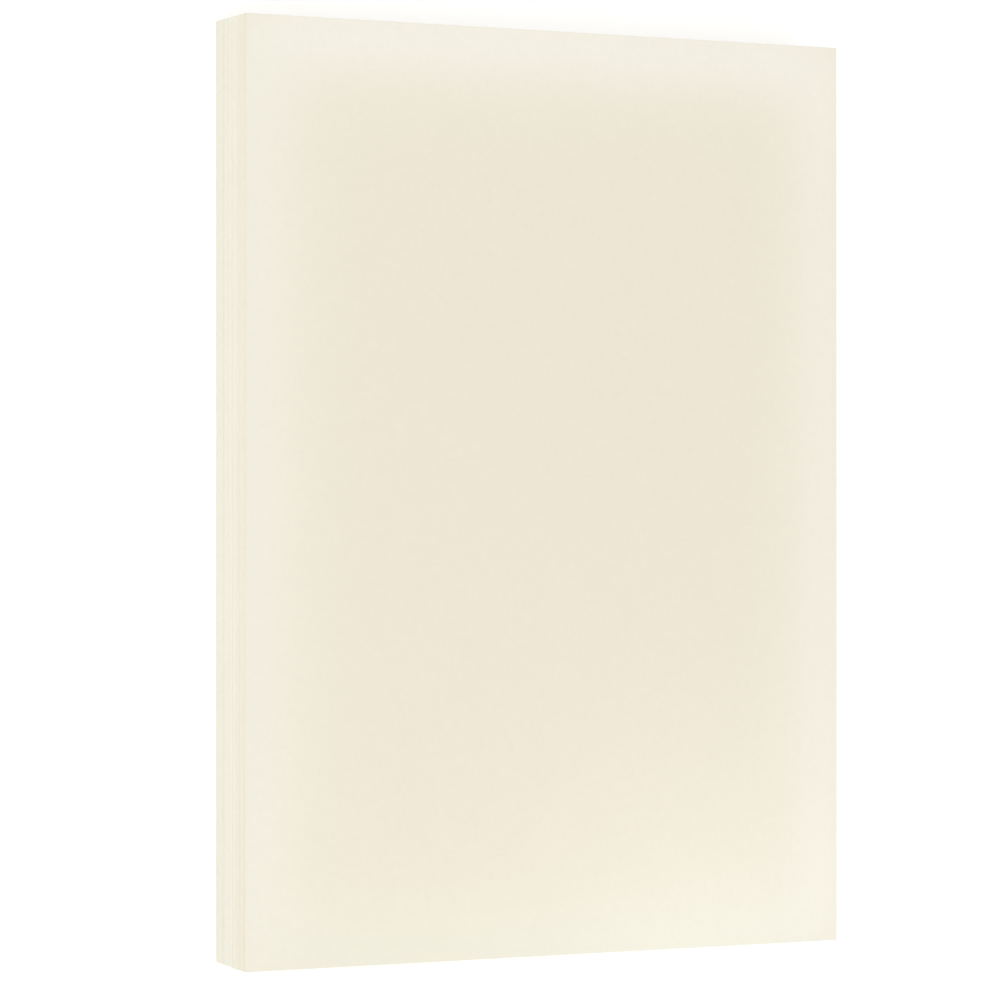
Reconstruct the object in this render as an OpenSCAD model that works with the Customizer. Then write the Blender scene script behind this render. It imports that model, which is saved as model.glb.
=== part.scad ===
// A loose pack of plain card: sheets of one size, squared up by hand and laid flat.
// The origin is under the middle of the pack, +X runs across the sheets, +Y along them and +Z up.

/* [Sheet] */
// Width of one sheet, the short side of A4
sheet_w = 210; // [100:1:330]
// Length of one sheet, the long side of A4
sheet_l = 297; // [140:1:490]
// Thickness of one sheet
sheet_t = 0.25; // [0.15:0.01:0.5]

/* [Pack] */
// Number of sheets in the pack
sheet_count = 100; // [20:1:118]
// Air that the rough faces of two sheets hold between them
air_gap = 0.01; // [0.005:0.005:0.05]
// Sheets that were counted off and knocked square together before they joined the pack
sheets_per_lift = 25; // [5:1:50]

/* [Lie of the sheets] */
// How far towards +Y the bottom sheet lies beyond the top one
lean_offset = 0.46; // [0:0.02:3]
// Furthest that a lift lies out of line with the pack, along X and along Y
lift_stray = 0.08; // [0:0.01:0.5]
// Furthest that a sheet lies out of line with its lift, along X and along Y
sheet_stray = 0.04; // [0:0.01:0.3]
// Furthest that a sheet is turned out of square, in degrees
sheet_turn = 0.012; // [0:0.002:0.1]
// Which of the many ways of lying is drawn
lie_seed = 11; // [1:1:99]

/* [Nodes] */
// Sheets that share a node, apart from the top and the bottom sheet, which have their own
sheets_per_node = 2; // [2:1:10]

/* [Colour] */
// Colour of the card, through its whole thickness
card_colour = "#EEE7D5"; // [#EEE7D5:Ivory, #F6EFD3:Cream, #FAFAF7:White]

/* [Hidden] */
// Height from one sheet to the next
sheet_pitch = sheet_t + air_gap;
// The highest sheet, where sheet 0 is the lowest
top_index = sheet_count - 1;
// Sheets between the top and the bottom one, and the nodes that they fill
inner_count = sheet_count - 2;
group_count = ceil(inner_count / sheets_per_node);
lift_count = ceil(sheet_count / sheets_per_lift);
// Each lift's and each sheet's own place and turn, drawn anew for each use of the seed
lift_x = rands(-lift_stray, lift_stray, lift_count, lie_seed);
lift_y = rands(-lift_stray, lift_stray, lift_count, lie_seed + 1);
own_x = rands(-sheet_stray, sheet_stray, sheet_count, lie_seed + 2);
own_y = rands(-sheet_stray, sheet_stray, sheet_count, lie_seed + 3);
own_turn = rands(-sheet_turn, sheet_turn, sheet_count, lie_seed + 4);

function group_name(g) = str("inner_sheets_", g < 10 ? "0" : "", g);
GROUPS = [for (g = [1 : group_count]) group_name(g)];

// Which lift sheet i came in
function lift_of(i) = floor(i / sheets_per_lift);
// How far the lean carries sheet i along +Y, with the middle of the pack left where it is
function lean_of(i) = lean_offset * (0.5 - i / top_index);
// Where the middle of sheet i's underside lies
function place_of(i) = [
    lift_x[lift_of(i)] + own_x[i],
    lean_of(i) + lift_y[lift_of(i)] + own_y[i],
    i * sheet_pitch
];

// One sheet as the guillotine leaves it: flat, with square edges and sharp corners
module blank_sheet() {
    linear_extrude(sheet_t)
        square([sheet_w, sheet_l], center = true);
}

// Sheet i in its place in the pack
module sheet(i) {
    color(card_colour)
        translate(place_of(i))
            rotate(own_turn[i])
                blank_sheet();
}

// The lowest sheet, which the pack rests on
module bottom_sheet() {
    sheet(0);
}

// Group g of the sheets between the bottom and the top one, counted from 1 at the bottom
module inner_sheets(g) {
    first = (g - 1) * sheets_per_node + 1;
    last = min(first + sheets_per_node, top_index) - 1;
    for (i = [first : last]) sheet(i);
}

// The sheet that shows its whole face
module top_sheet() {
    sheet(top_index);
}

bottom_sheet();
for (g = [1 : group_count])
    inner_sheets(g);
top_sheet();
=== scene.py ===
import math
import random

import bmesh
import bpy
from mathutils import Matrix, Vector


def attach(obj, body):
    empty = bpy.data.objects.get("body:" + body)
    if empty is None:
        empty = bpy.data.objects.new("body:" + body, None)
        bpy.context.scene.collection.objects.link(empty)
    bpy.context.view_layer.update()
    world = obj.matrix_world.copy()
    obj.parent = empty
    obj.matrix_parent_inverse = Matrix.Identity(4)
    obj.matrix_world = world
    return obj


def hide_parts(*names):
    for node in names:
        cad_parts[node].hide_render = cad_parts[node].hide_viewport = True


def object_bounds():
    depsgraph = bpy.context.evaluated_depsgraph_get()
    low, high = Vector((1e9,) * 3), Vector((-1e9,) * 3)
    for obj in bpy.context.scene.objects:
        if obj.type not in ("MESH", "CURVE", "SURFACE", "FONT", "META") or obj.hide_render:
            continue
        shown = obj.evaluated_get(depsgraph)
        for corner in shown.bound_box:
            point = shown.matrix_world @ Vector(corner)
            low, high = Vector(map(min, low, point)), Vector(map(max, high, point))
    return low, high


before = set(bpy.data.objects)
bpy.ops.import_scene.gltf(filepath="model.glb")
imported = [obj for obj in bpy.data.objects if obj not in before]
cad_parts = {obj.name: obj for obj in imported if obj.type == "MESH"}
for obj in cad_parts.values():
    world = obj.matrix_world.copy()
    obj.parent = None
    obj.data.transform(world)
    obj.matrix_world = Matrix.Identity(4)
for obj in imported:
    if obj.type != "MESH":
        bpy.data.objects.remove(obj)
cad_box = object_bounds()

# A loose pack of ivory bristol card, lying flat. Lengths are in metres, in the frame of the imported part.
# The sheets of the picture are built on the corners of the sheets in the frame, and none leaves its place.

MM = 0.001
ROOT = "root"
PACK_LOW = cad_box[0]
PACK_HIGH = cad_box[1]
PACK_W = PACK_HIGH.x - PACK_LOW.x
PACK_L = PACK_HIGH.y - PACK_LOW.y
INNER_NODES = sorted(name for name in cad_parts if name.startswith("inner_sheets_"))

# Inner sheets are shared out among pieces, so that each piece has room for its edges in its own map
INNER_PIECES = 7

# How closely the levels and corners of the sheets in the frame are told apart
PLACES = 7
SAME_LEVEL = 1e-6

# How the guillotine leaves the edge of a sheet: with broken corners, a slight fray and a slight crush
ARRIS = 0.025 * MM
FRAY = 0.012 * MM
CRUSH = 0.006 * MM
CRUSH_REACH = 2.5 * MM

# The waves in which fray and crush come and go: how often each turns on its way round a sheet, and how weak
# the weakest of them may be
FRAY_SEED = 20261
FRAY_TURNS = (4, 9, 15, 26)
CRUSH_TOP_TURNS = (3, 5, 8, 13)
CRUSH_LOW_TURNS = (2, 5, 7, 11)
WEAKEST_WAVE = 0.3

# The steps in which a long and a short side of a sheet are drawn
LONG_STEPS = 24
SHORT_STEPS = 17

# Sheets differ a little in tone, and the cut edges of the upper ones are darker and warmer, less and less
# down to a depth
TONE_SEED = 417
UPPER_TINT_DEPTH = 10 * MM

# The map of a piece: the clear space round each part of it, and the share of its height that cut edges take,
# in a piece of many sheets and in one of a single sheet
MAP_NAME = "OFBake"
MAP_PAD = 0.0015
EDGE_SHARE = 0.6
LONE_EDGE_SHARE = 0.08
STRIP_PAD = 0.1
FACE_COLUMNS = 7

# In the map of a single sheet, the face that shows has most of the rest, and the other one a small cell
SHOWN_HEIGHT = 0.7
HIDDEN_FROM = 0.705
HIDDEN_WIDTH = 0.3
HIDDEN_HEIGHT = 0.21

# The two broad faces of a sheet
TOP = 0
UNDERSIDE = 1

# A sheet is drawn as bands between rings of points, from the top face over the cut edge to the underside:
# how far down the thickness each ring lies in the map, and which bands are the cut edge
RING_DEPTHS = (0, 0, 0.2, 0.8, 1, 1)
CUT_BANDS = (1, 2, 3)

# Colours, linear: the faces of the card, its cut edges painted paler and cooler (painted light, for the cool
# light on the edge faces), and the cut edges of the upper sheets, darker and warmer
CARD_IVORY = Vector((0.872, 0.811, 0.667))
CARD_CUT_PAINTED_LIGHT = Vector((0.876, 0.842, 0.722))
CARD_UPPER_TINT = Vector((0.861, 0.794, 0.657))

# The patterns in the card: features per metre, detail, how much finer they are along X, Y and Z, and their
# turn in degrees
PATTERNS = {
    "cloud": (60, 2, (1, 1, 1), 0),
    "mottle": (520, 3, (1, 1, 1), 0),
    "fibres": (330, 2, (5, 1, 1), 27),
    "cross_fibres": (330, 2, (1, 5, 1), -16),
    "drag": (1600, 2, (1, 1, 0.2), 0),
    "streak": (1, 2, (12, 12, 2600), 0),
    "tooth": (2700, 2, (1, 1, 1), 0),
}

# How far the patterns and the tone of a sheet change its lightness, as a share
CLOUD_SWING = 0.016
MOTTLE_SWING = 0.040
FIBRE_SWING = 0.020
DRAG_SWING = 0.050
STREAK_SWING = 0.032
TONE_SWING = 0.009

# The relief and roughness of the card, and what mottle and cut add to them
BUMP_STRENGTH = 0.4
BUMP_DISTANCE = 0.03 * MM
MOTTLE_RELIEF = 0.6
ROUGHNESS = 0.72
MOTTLE_ROUGHNESS = 0.12
CUT_ROUGHNESS = 0.10
SPECULAR_LEVEL = 0.3

# The sockets of a node that mixes vectors, which share their names with those for other kinds
MIX_A = 4
MIX_B = 5
MIX_RESULT = 1

# The camera, from the pack's outline in the photograph
CAMERA_AT = Vector((-0.51691, -0.00691, 1.10809))
CAMERA_AIM = Vector((-0.01831, -0.00244, 0.02599))
CAMERA_LENS = 134.391
CAMERA_SENSOR = 36.0
CAMERA_CLIP = 0.01

# Light, in units that show a white surface as white: the sky and the key softbox
SKY = 0.82
KEY_AT = Vector((-0.3, -0.4, 1.3))
KEY_SIZE = (1.2, 1.2)
KEY_GLOW = (0.44, 0.44, 0.44)

# The softboxes that stand round the table: how far off, how high, and how large
FILL_REACH = 1.0
FILL_Z = 0.25
FILL_LENGTH = 0.7
FILL_HEIGHT = 0.4

# The lamps over the margins of the top sheet: how far above it, and how wide
MARGIN_Z = 16 * MM
MARGIN_WIDTH = 10 * MM
WASH_Z = 60 * MM
CORNER_WASH_Z = 80 * MM
CORNER_WASH_WIDTH = 50 * MM

# The table: how it is made, and how much it is lifted towards white, near the pack and far from it
TABLE_RADIUS = 6.0
TABLE_SIDES = 96
TABLE_DROP = 0.02 * MM
TABLE_WHITE = 0.87
NEAR_LIFT = 0.24
FAR_LIFT = 0.32
NEAR_LIFT_ENDS = 0.3
FAR_LIFT_STARTS = 1.0


# Sheets


def sheets_of(node):
    """The sheets of a CAD node, lowest first, each as its four corners in order, its low z and its high z."""
    points = [vertex.co.copy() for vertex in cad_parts[node].data.vertices]
    levels = sorted({round(p.z, PLACES) for p in points})
    sheets = []
    for low, high in zip(levels[0::2], levels[1::2]):
        corners = {(round(p.x, PLACES), round(p.y, PLACES)) for p in points if abs(p.z - low) < SAME_LEVEL}
        ordered = sorted(corners, key=lambda c: math.atan2(c[1], c[0]))
        sheets.append(([Vector((x, y, 0)) for x, y in ordered], low, high))
    return sheets


def air_gap():
    """The air between two neighbouring sheets, which is the same all through the pack."""
    lower, upper = sheets_of(INNER_NODES[0])[:2]
    return upper[1] - lower[2]


# The burr of the cut, which closes the air between two sheets at their rims
BURR = air_gap() / 2


class Wave:
    """A smooth random wave round a sheet, from 0 to 1, that closes on itself."""

    def __init__(self, rng, turns):
        self.parts = [(rng.uniform(WEAKEST_WAVE, 1.0), turn, rng.uniform(0, math.tau)) for turn in turns]
        self.total = sum(part[0] for part in self.parts)

    def at(self, share):
        value = sum(size * math.sin(math.tau * turn * share + phase) for size, turn, phase in self.parts)
        return 0.5 + 0.5 * value / self.total


class Map:
    """The piece's own map: a row of strips for the cut edges, and a cell for each broad face."""

    def __init__(self, sheet_count, shown):
        self.shown = shown
        self.strip_top = EDGE_SHARE if sheet_count > 1 else LONE_EDGE_SHARE
        self.strip_height = self.strip_top / (4 * sheet_count)
        self.rows = math.ceil(2 * sheet_count / FACE_COLUMNS)

    def strip(self, sheet, side, along, across):
        """A place on the cut edge: along its side and across its thickness, both from 0 to 1."""
        reach = 1.0 if side % 2 else PACK_W / PACK_L
        u = MAP_PAD + along * reach * (1 - 2 * MAP_PAD)
        v = (4 * sheet + side + STRIP_PAD + (1 - 2 * STRIP_PAD) * across) * self.strip_height
        return u, v

    def broad(self, sheet, face, point):
        """A place on a broad face, which is TOP or UNDERSIDE."""
        y = (point.y - PACK_LOW.y) / PACK_L
        x = (point.x - PACK_LOW.x) / PACK_W
        if self.shown is None:
            cell = 2 * sheet + face
            width, height = 1 / FACE_COLUMNS, (1 - self.strip_top) / self.rows
            left, low = cell % FACE_COLUMNS * width, self.strip_top + cell // FACE_COLUMNS * height
        elif face == self.shown:
            width, height, left, low = 1.0, SHOWN_HEIGHT, 0.0, self.strip_top
        else:
            width, height, left, low = HIDDEN_WIDTH, HIDDEN_HEIGHT, 0.0, self.strip_top + HIDDEN_FROM
        return left + MAP_PAD + y * (width - 2 * MAP_PAD), low + MAP_PAD + x * (height - 2 * MAP_PAD)


def steps_of(side):
    """The steps in which a side is drawn. Odd sides are the long ones."""
    return LONG_STEPS if side % 2 else SHORT_STEPS


def outline_of(corners):
    """Points round a sheet, each with its side and how far along that side it lies."""
    points = []
    for side in range(4):
        start, end = corners[side], corners[(side + 1) % 4]
        steps = steps_of(side)
        points += [(start.lerp(end, step / steps), side, step / steps) for step in range(steps)]
    return points


def add_sheet(bm, layers, chart, index, sheet, tone, rng):
    """Lays one sheet in the mesh: flat faces, and edges with the slight crush and fray of a cut."""
    corners, low, high = sheet
    outline = outline_of(corners)
    count = len(outline)
    middle = sum(corners, Vector()) / 4
    half = Vector(((corners[1] - corners[0]).length / 2, (corners[2] - corners[1]).length / 2))
    crush_top, crush_low = Wave(rng, CRUSH_TOP_TURNS), Wave(rng, CRUSH_LOW_TURNS)
    fray = Wave(rng, FRAY_TURNS)
    rim_top, rim_low = min(high + BURR, PACK_HIGH.z), max(low - BURR, PACK_LOW.z)
    # How much darker and warmer this sheet's cut edge is, fading to nothing a depth below the top of the pack
    upper_tint_share = max(0.0, 1 - (PACK_HIGH.z - high) / UPPER_TINT_DEPTH)

    def crushed_top(share):
        return rim_top - CRUSH * crush_top.at(share)

    def crushed_low(share):
        return rim_low + CRUSH * crush_low.at(share)

    def ring(inset, height_at):
        verts = []
        for i, (point, _, _) in enumerate(outline):
            share = i / count
            inward = inset + FRAY * fray.at(share)
            offset = point - middle
            place = middle + Vector((offset.x * (1 - inward / half.x), offset.y * (1 - inward / half.y), 0))
            place.z = height_at(share)
            verts.append(bm.verts.new(place))
        return verts

    def paint(face, is_edge, places):
        face[layers["tone"]] = tone
        face[layers["cut"]] = 1.0 if is_edge else 0.0
        face[layers["upper_tint"]] = upper_tint_share if is_edge else 0.0
        for loop, place in zip(face.loops, places):
            loop[layers["map"]].uv = place

    rings = [
        ring(CRUSH_REACH, lambda share: high),
        ring(ARRIS, crushed_top),
        ring(0, lambda share: crushed_top(share) - ARRIS),
        ring(0, lambda share: crushed_low(share) + ARRIS),
        ring(ARRIS, crushed_low),
        ring(CRUSH_REACH, lambda share: low),
    ]
    for band, (upper, lower) in enumerate(zip(rings[:-1], rings[1:])):
        is_edge = band in CUT_BANDS
        for i, (_, side, along) in enumerate(outline):
            j = (i + 1) % count
            face = bm.faces.new((upper[j], upper[i], lower[i], lower[j]))
            ahead = along + 1 / steps_of(side)
            above, below = RING_DEPTHS[band], RING_DEPTHS[band + 1]
            if is_edge:
                spots = ((ahead, above), (along, above), (along, below), (ahead, below))
                places = [chart.strip(index, side, end, depth) for end, depth in spots]
            else:
                broad = UNDERSIDE if band > CUT_BANDS[-1] else TOP
                places = [chart.broad(index, broad, vert.co) for vert in face.verts]
            paint(face, is_edge, places)
    for broad, verts in ((TOP, rings[0]), (UNDERSIDE, rings[-1][::-1])):
        face = bm.faces.new(verts)
        paint(face, False, [chart.broad(index, broad, vert.co) for vert in verts])


def card_piece(name, nodes, material, shown=None):
    """One piece of the picture that holds the sheets of these CAD nodes."""
    rng = random.Random(f"{FRAY_SEED} {name}")
    tones = random.Random(f"{TONE_SEED} {name}")
    sheets = [sheet for node in nodes for sheet in sheets_of(node)]
    chart = Map(len(sheets), shown)
    bm = bmesh.new()
    layers = {
        "tone": bm.faces.layers.float.new("tone"),
        "cut": bm.faces.layers.float.new("cut"),
        "upper_tint": bm.faces.layers.float.new("upper_tint"),
        "map": bm.loops.layers.uv.new(MAP_NAME),
    }
    for index, sheet in enumerate(sheets):
        add_sheet(bm, layers, chart, index, sheet, tones.gauss(0, 1), rng)
    mesh = bpy.data.meshes.new(name)
    bm.to_mesh(mesh)
    bm.free()
    mesh.materials.append(material)
    piece = bpy.data.objects.new(name, mesh)
    bpy.context.scene.collection.objects.link(piece)
    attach(piece, ROOT)
    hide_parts(*nodes)


# Materials


class Nodes:
    """Short ways to add and join the nodes of a material or the world."""

    def __init__(self, owner):
        owner.use_nodes = True
        self.tree = owner.node_tree
        self.tree.nodes.clear()

    def add(self, kind, **values):
        node = self.tree.nodes.new(kind)
        for key, value in values.items():
            setattr(node, key, value)
        return node

    def feed(self, socket, value):
        if isinstance(value, bpy.types.NodeSocket):
            self.tree.links.new(value, socket)
        else:
            socket.default_value = value

    def math(self, operation, *values):
        node = self.add("ShaderNodeMath", operation=operation)
        for socket, value in zip(node.inputs, values):
            self.feed(socket, value)
        return node.outputs[0]

    def swing(self, value, size):
        """A noise of 0 to 1 as a change of up to half the size, up or down."""
        return self.math("MULTIPLY_ADD", value, size, -0.5 * size)

    def mix(self, factor, colour, other):
        """One colour where the factor is 0, and the other where it is 1."""
        node = self.add("ShaderNodeMix", data_type="VECTOR")
        self.feed(node.inputs["Factor"], factor)
        self.feed(node.inputs[MIX_A], colour)
        self.feed(node.inputs[MIX_B], other)
        return node.outputs[MIX_RESULT]

    def attribute(self, name):
        """A value that the mesh holds for each of its faces."""
        return self.add("ShaderNodeAttribute", attribute_name=name).outputs["Fac"]

    def place(self):
        """Where a point lies on its object, in metres."""
        return self.add("ShaderNodeTexCoord").outputs["Object"]

    def pattern(self, name):
        """One of the patterns in the card, as a noise from 0 to 1."""
        scale, detail, stretch, turn = PATTERNS[name]
        mapping = self.add("ShaderNodeMapping")
        self.feed(mapping.inputs["Vector"], self.place())
        self.feed(mapping.inputs["Scale"], stretch)
        self.feed(mapping.inputs["Rotation"], (0, 0, math.radians(turn)))
        texture = self.add("ShaderNodeTexNoise")
        self.feed(texture.inputs["Vector"], mapping.outputs[0])
        self.feed(texture.inputs["Scale"], scale)
        self.feed(texture.inputs["Detail"], detail)
        return texture.outputs["Fac"]

    def seen(self):
        """1 to the camera, in a reflection and through glass, and 0 where a surface lights another."""
        rays = self.add("ShaderNodeLightPath").outputs
        direct = self.math("MAXIMUM", rays["Is Camera Ray"], rays["Is Glossy Ray"])
        return self.math("MAXIMUM", direct, rays["Is Transmission Ray"])

    def finish(self, kind, shader):
        self.feed(self.add(kind).inputs["Surface"], shader)


def card_material():
    """Ivory vellum bristol: a faint cloud, mottle and fibres, a soft tooth, and drag marks on the cut."""
    material = bpy.data.materials.new("ivory_card")
    n = Nodes(material)
    tone, cut, upper_tint = (n.attribute(name) for name in ("tone", "cut", "upper_tint"))
    mottle, drag = n.pattern("mottle"), n.pattern("drag")
    fibres = n.math("ADD", n.pattern("fibres"), n.pattern("cross_fibres"))

    # Lightness: what the whole sheet has, and what only its cut edge has
    light = n.math("ADD", 1.0, n.swing(n.pattern("cloud"), CLOUD_SWING))
    light = n.math("ADD", light, n.swing(mottle, MOTTLE_SWING))
    light = n.math("ADD", light, n.math("MULTIPLY_ADD", fibres, FIBRE_SWING, -FIBRE_SWING))
    edge = n.math("ADD", n.swing(drag, DRAG_SWING), n.swing(n.pattern("streak"), STREAK_SWING))
    edge = n.math("ADD", edge, n.math("MULTIPLY", tone, TONE_SWING))
    light = n.math("ADD", light, n.math("MULTIPLY", edge, cut))
    # The cut edges are painted paler and cooler than the faces: painted light, for the cool light that falls
    # on the edge faces.
    colour = n.add("ShaderNodeVectorMath", operation="SCALE")
    # Towards the top of the pack the cut edges turn darker and warmer.
    n.feed(colour.inputs[0], n.mix(upper_tint, n.mix(cut, CARD_IVORY, CARD_CUT_PAINTED_LIGHT), CARD_UPPER_TINT))
    n.feed(colour.inputs["Scale"], light)

    # Tooth of the broad faces, and the rougher cut edge
    tooth = n.math("ADD", n.pattern("tooth"), n.math("MULTIPLY", mottle, MOTTLE_RELIEF))
    bump = n.add("ShaderNodeBump")
    n.feed(bump.inputs["Strength"], BUMP_STRENGTH)
    n.feed(bump.inputs["Distance"], BUMP_DISTANCE)
    n.feed(bump.inputs["Height"], n.math("ADD", tooth, n.math("MULTIPLY", drag, cut)))
    rough = n.math("MULTIPLY_ADD", mottle, MOTTLE_ROUGHNESS, ROUGHNESS)
    rough = n.math("MULTIPLY_ADD", cut, CUT_ROUGHNESS, rough)

    shader = n.add("ShaderNodeBsdfPrincipled")
    n.feed(shader.inputs["Base Color"], colour.outputs[0])
    n.feed(shader.inputs["Roughness"], rough)
    n.feed(shader.inputs["Specular IOR Level"], SPECULAR_LEVEL)
    n.feed(shader.inputs["Normal"], bump.outputs[0])
    n.finish("ShaderNodeOutputMaterial", shader.outputs[0])
    return material


def table_material():
    """Matt white, lifted towards the white behind it where it is looked at, and more so far from the pack."""
    material = bpy.data.materials.new("white_table")
    n = Nodes(material)
    matt = n.add("ShaderNodeBsdfDiffuse")
    n.feed(matt.inputs["Color"], (TABLE_WHITE, TABLE_WHITE, TABLE_WHITE, 1))
    away = n.add("ShaderNodeVectorMath", operation="LENGTH")
    n.feed(away.inputs[0], n.place())
    rise = n.add("ShaderNodeMapRange")
    values = (away.outputs["Value"], NEAR_LIFT_ENDS, FAR_LIFT_STARTS, NEAR_LIFT, FAR_LIFT)
    for socket, value in zip(rise.inputs, values):
        n.feed(socket, value)
    lift = n.add("ShaderNodeEmission")
    n.feed(lift.inputs["Strength"], n.math("MULTIPLY", n.seen(), rise.outputs[0]))
    both = n.add("ShaderNodeAddShader")
    n.feed(both.inputs[0], matt.outputs[0])
    n.feed(both.inputs[1], lift.outputs[0])
    n.finish("ShaderNodeOutputMaterial", both.outputs[0])
    return material


# Studio


def make_world():
    """Even light from all round, and plain white wherever the camera or a reflection looks past the table."""
    world = bpy.data.worlds.new("studio")
    bpy.context.scene.world = world
    n = Nodes(world)
    back = n.add("ShaderNodeBackground")
    n.feed(back.inputs["Color"], (1, 1, 1, 1))
    n.feed(back.inputs["Strength"], n.math("MULTIPLY_ADD", n.seen(), 1 - SKY, SKY))
    n.finish("ShaderNodeOutputWorld", back.outputs[0])


def make_table():
    """A plain white table top that keeps the pack's soft shadow."""
    bm = bmesh.new()
    bmesh.ops.create_circle(bm, cap_ends=True, segments=TABLE_SIDES, radius=TABLE_RADIUS)
    mesh = bpy.data.meshes.new("table")
    bm.to_mesh(mesh)
    bm.free()
    mesh.materials.append(table_material())
    table = bpy.data.objects.new("table", mesh)
    table.location.z = PACK_LOW.z - TABLE_DROP
    bpy.context.scene.collection.objects.link(table)


def facing(at, aim):
    """The place and turn of a camera or lamp that looks from one point to another, with +Y up the picture."""
    back = (at - aim).normalized()
    right = Vector((0, 1, 0)).cross(back).normalized()
    up = back.cross(right)
    return Matrix.Translation(at) @ Matrix((right, up, back)).transposed().to_4x4()


def add_lamp(name, at, aim, size, glow):
    """A soft rectangular lamp: its size across and along, and the glow of its face in red, green and blue."""
    brightest = max(glow)
    data = bpy.data.lights.new(name, "AREA")
    data.shape = "RECTANGLE"
    data.size, data.size_y = size
    data.color = [part / brightest for part in glow]
    data.energy = brightest * math.pi * size[0] * size[1]
    lamp = bpy.data.objects.new(name, data)
    lamp.matrix_world = facing(at, aim)
    bpy.context.scene.collection.objects.link(lamp)


def light_studio():
    """A key softbox, a fill on each side, and slim cool lamps over the margins, to whiten them."""
    middle = Vector((0, 0, 0))
    add_lamp("key", KEY_AT, middle, KEY_SIZE, KEY_GLOW)
    fills = (
        ("left_fill", -1, 0, (1.93, 2.09, 2.33)),
        ("right_fill", 1, 0, (0.78, 0.72, 0.67)),
        ("near_fill", 0, -1, (0.62, 0.56, 0.52)),
        ("far_fill", 0, 1, (0.70, 0.64, 0.59)),
    )
    for name, x, y, glow in fills:
        size = (FILL_HEIGHT, FILL_LENGTH) if x else (FILL_LENGTH, FILL_HEIGHT)
        add_lamp(name, Vector((x * FILL_REACH, y * FILL_REACH, FILL_Z)), middle, size, glow)

    # Lamps straight above the top sheet, low enough inside its outline to leave the edges alone.
    # Each is placed by how far it lies towards +X and +Y, where 1 is flush with the sheet's own edge.
    along, across = (MARGIN_WIDTH, PACK_L), (PACK_W, MARGIN_WIDTH)
    square = (CORNER_WASH_WIDTH, CORNER_WASH_WIDTH)
    overhead = (
        ("left_margin", -1, 0, MARGIN_Z, along, (0.120, 0.223, 0.376)),
        ("right_margin", 1, 0, MARGIN_Z, along, (0.158, 0.244, 0.421)),
        ("far_margin", 0, 1, MARGIN_Z, across, (0.220, 0.336, 0.595)),
        ("near_margin", 0, -1, MARGIN_Z, across, (0.002, 0.138, 0.223)),
        ("near_wash", 0, -1, WASH_Z, across, (0.419, 0.307, 0.212)),
        ("near_right_wash", 0.75, -1.21, CORNER_WASH_Z, square, (0.625, 0.777, 1.047)),
    )
    for name, x, y, height, size, glow in overhead:
        at = Vector((x * (PACK_W - size[0]) / 2, y * (PACK_L - size[1]) / 2, PACK_HIGH.z + height))
        add_lamp(name, at, Vector((at.x, at.y, 0)), size, glow)


def make_camera():
    """The photograph's view: down on the pack with +Y up the picture, and its left edge face in sight."""
    data = bpy.data.cameras.new("camera")
    data.lens = CAMERA_LENS
    data.sensor_width = CAMERA_SENSOR
    data.clip_start = CAMERA_CLIP
    camera = bpy.data.objects.new("camera", data)
    camera.matrix_world = facing(CAMERA_AT, CAMERA_AIM)
    bpy.context.scene.collection.objects.link(camera)
    bpy.context.scene.camera = camera


make_camera()
make_world()
make_table()
light_studio()

card = card_material()
share = math.ceil(len(INNER_NODES) / INNER_PIECES)
card_piece("lowest_sheet", ["bottom_sheet"], card, shown=UNDERSIDE)
for number in range(INNER_PIECES):
    card_piece(f"inner_block_{number + 1}", INNER_NODES[number * share : (number + 1) * share], card)
card_piece("uppermost_sheet", ["top_sheet"], card, shown=TOP)

bpy.context.scene.view_settings.view_transform = "Standard"
